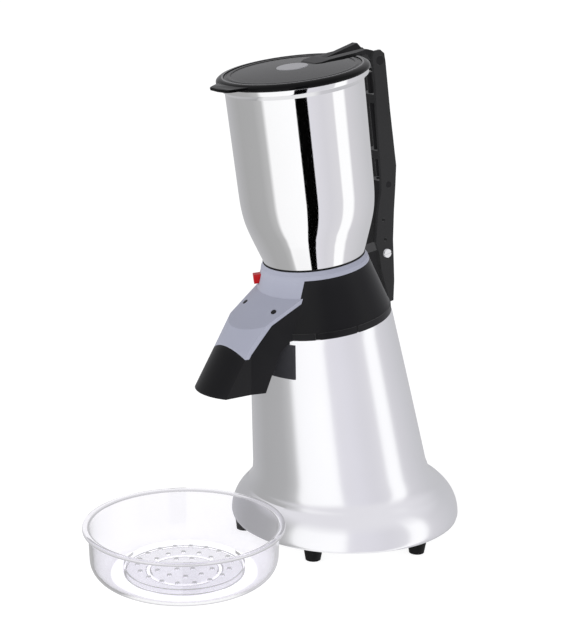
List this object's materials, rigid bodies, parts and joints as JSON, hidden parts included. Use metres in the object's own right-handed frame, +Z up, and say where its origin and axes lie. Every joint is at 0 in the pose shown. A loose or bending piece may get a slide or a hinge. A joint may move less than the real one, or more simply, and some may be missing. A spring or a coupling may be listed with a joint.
{
  "type": "electric ice crusher",
  "caption": "Upright bar ice crusher: steel hopper with hinged lid on a leaning motor foot, covered spout above a loose clear bowl with a drain plate.",
  "frame": {"origin": "on the ground, under the middle of the outline of machine and bowl together", "axes": "+Z up, -Y to the front (spout and bowl), +X to the machine's left as seen from behind; the machine axis leans forward from +Z towards -Y"},
  "size_m": [0.218, 0.3924, 0.4601],
  "materials": {
    "cast_aluminium": "satin polished",
    "polished_steel": "mirror polished",
    "steel_parts": "plain",
    "dark_steel": "blackened",
    "chrome_screws": "bright",
    "painted_steel": "semi gloss",
    "motor_aluminium": "as cast",
    "motor_iron": "varnished",
    "black_plastic": "satin",
    "dark_plastic": "satin",
    "black_paint": "satin",
    "gloss_black": "glossy",
    "grey_plastic": "satin",
    "light_plastic": "glossy",
    "red_plastic": "glossy",
    "black_rubber": "matt",
    "smoked_plastic": "glossy smoked",
    "clear_plastic": "clear"
  },
  "bodies": {
    "machine": {"base_casting": "cast_aluminium", "bottom_plate": "steel_parts", "foot_1": "black_rubber", "foot_2": "black_rubber", "foot_3": "black_rubber", "foot_4": "black_rubber", "foot_5": "black_rubber", "foot_6": "black_rubber", "foot_screws": "steel_parts", "switch_plate": "dark_plastic", "switch_body": "black_plastic", "cord_gland": "black_plastic", "gland_nut": "black_plastic", "motor_housing": "painted_steel", "motor_lower_bell": "motor_aluminium", "motor_upper_bell": "motor_aluminium", "lower_bearing": "steel_parts", "upper_bearing": "steel_parts", "stator": "motor_iron", "motor_bolts": "steel_parts", "run_capacitor": "motor_aluminium", "terminal_block": "black_plastic", "chamber_floor": "steel_parts", "floor_screws": "steel_parts", "shaft_seal": "black_rubber", "breaker_ring": "steel_parts", "collar": "black_plastic", "spout_body": "black_plastic", "spout_cover": "grey_plastic", "cover_screws": "dark_steel", "hopper_ring": "grey_plastic", "hopper_gasket": "black_rubber", "column": "black_paint", "column_pin": "dark_steel", "column_bracket": "black_plastic", "column_screws": "chrome_screws", "safety_switch": "black_plastic"},
    "drive": {"rotor": "motor_iron", "drive_shaft": "steel_parts", "cooling_fan": "black_plastic", "ejector": "steel_parts", "blade_disc": "steel_parts", "blades": "steel_parts", "blade_nut": "steel_parts"},
    "hopper_unit": {"hopper": "polished_steel"},
    "lid": {"lid_panel": "smoked_plastic", "lid_rim": "gloss_black", "lid_cap": "light_plastic", "lid_arm": "gloss_black", "hinge_pin": "dark_steel"},
    "rod": {"safety_rod": "dark_steel"},
    "button": {"release_button": "red_plastic"},
    "rocker": {"switch_rocker": "gloss_black"},
    "bowl": {"ice_bowl": "clear_plastic"},
    "drain": {"drain_plate": "clear_plastic"}
  },
  "joints": [
    {"name": "drive_spin", "type": "hinge", "parent": "machine", "child": "drive", "pos_m": [0, 0.06409, 0.1482], "axis": [0, -0.1544, 0.988], "continuous": true},
    {"name": "hopper_twist", "type": "hinge", "parent": "machine", "child": "hopper_unit", "pos_m": [0, 0.04588, 0.26479], "axis": [0, -0.1544, 0.988], "range_deg": [0, 25]},
    {"name": "lid_hinge", "type": "hinge", "parent": "machine", "child": "lid", "pos_m": [0, 0.10523, 0.4446], "axis": [-1, 0, 0], "range_deg": [0, 100]},
    {"name": "rod_slide", "type": "slide", "parent": "machine", "child": "rod", "axis": [0, -0.1544, 0.988], "range_m": [0, 0.0021]},
    {"name": "button_press", "type": "slide", "parent": "machine", "child": "button", "axis": [0.5, 0.8556, 0.1337], "range_m": [0, 0.002], "stiffness_N_per_m": 300},
    {"name": "rocker_tip", "type": "hinge", "parent": "machine", "child": "rocker", "pos_m": [0, -0.0099, 0.1795], "axis": [1, 0, 0], "range_deg": [0, 14]},
    {"name": "bowl_slide", "type": "slide", "parent": "machine", "child": "bowl", "axis": [0, -1, 0], "range_m": [0, 0.12]},
    {"name": "drain_lift", "type": "slide", "parent": "bowl", "child": "drain", "axis": [0, 0, 1], "range_m": [0, 0.04]}
  ],
  "couplings": [
    {"joint": "rod_slide", "follows": "lid_hinge", "m_per_rad": 0.00115}
  ]
}
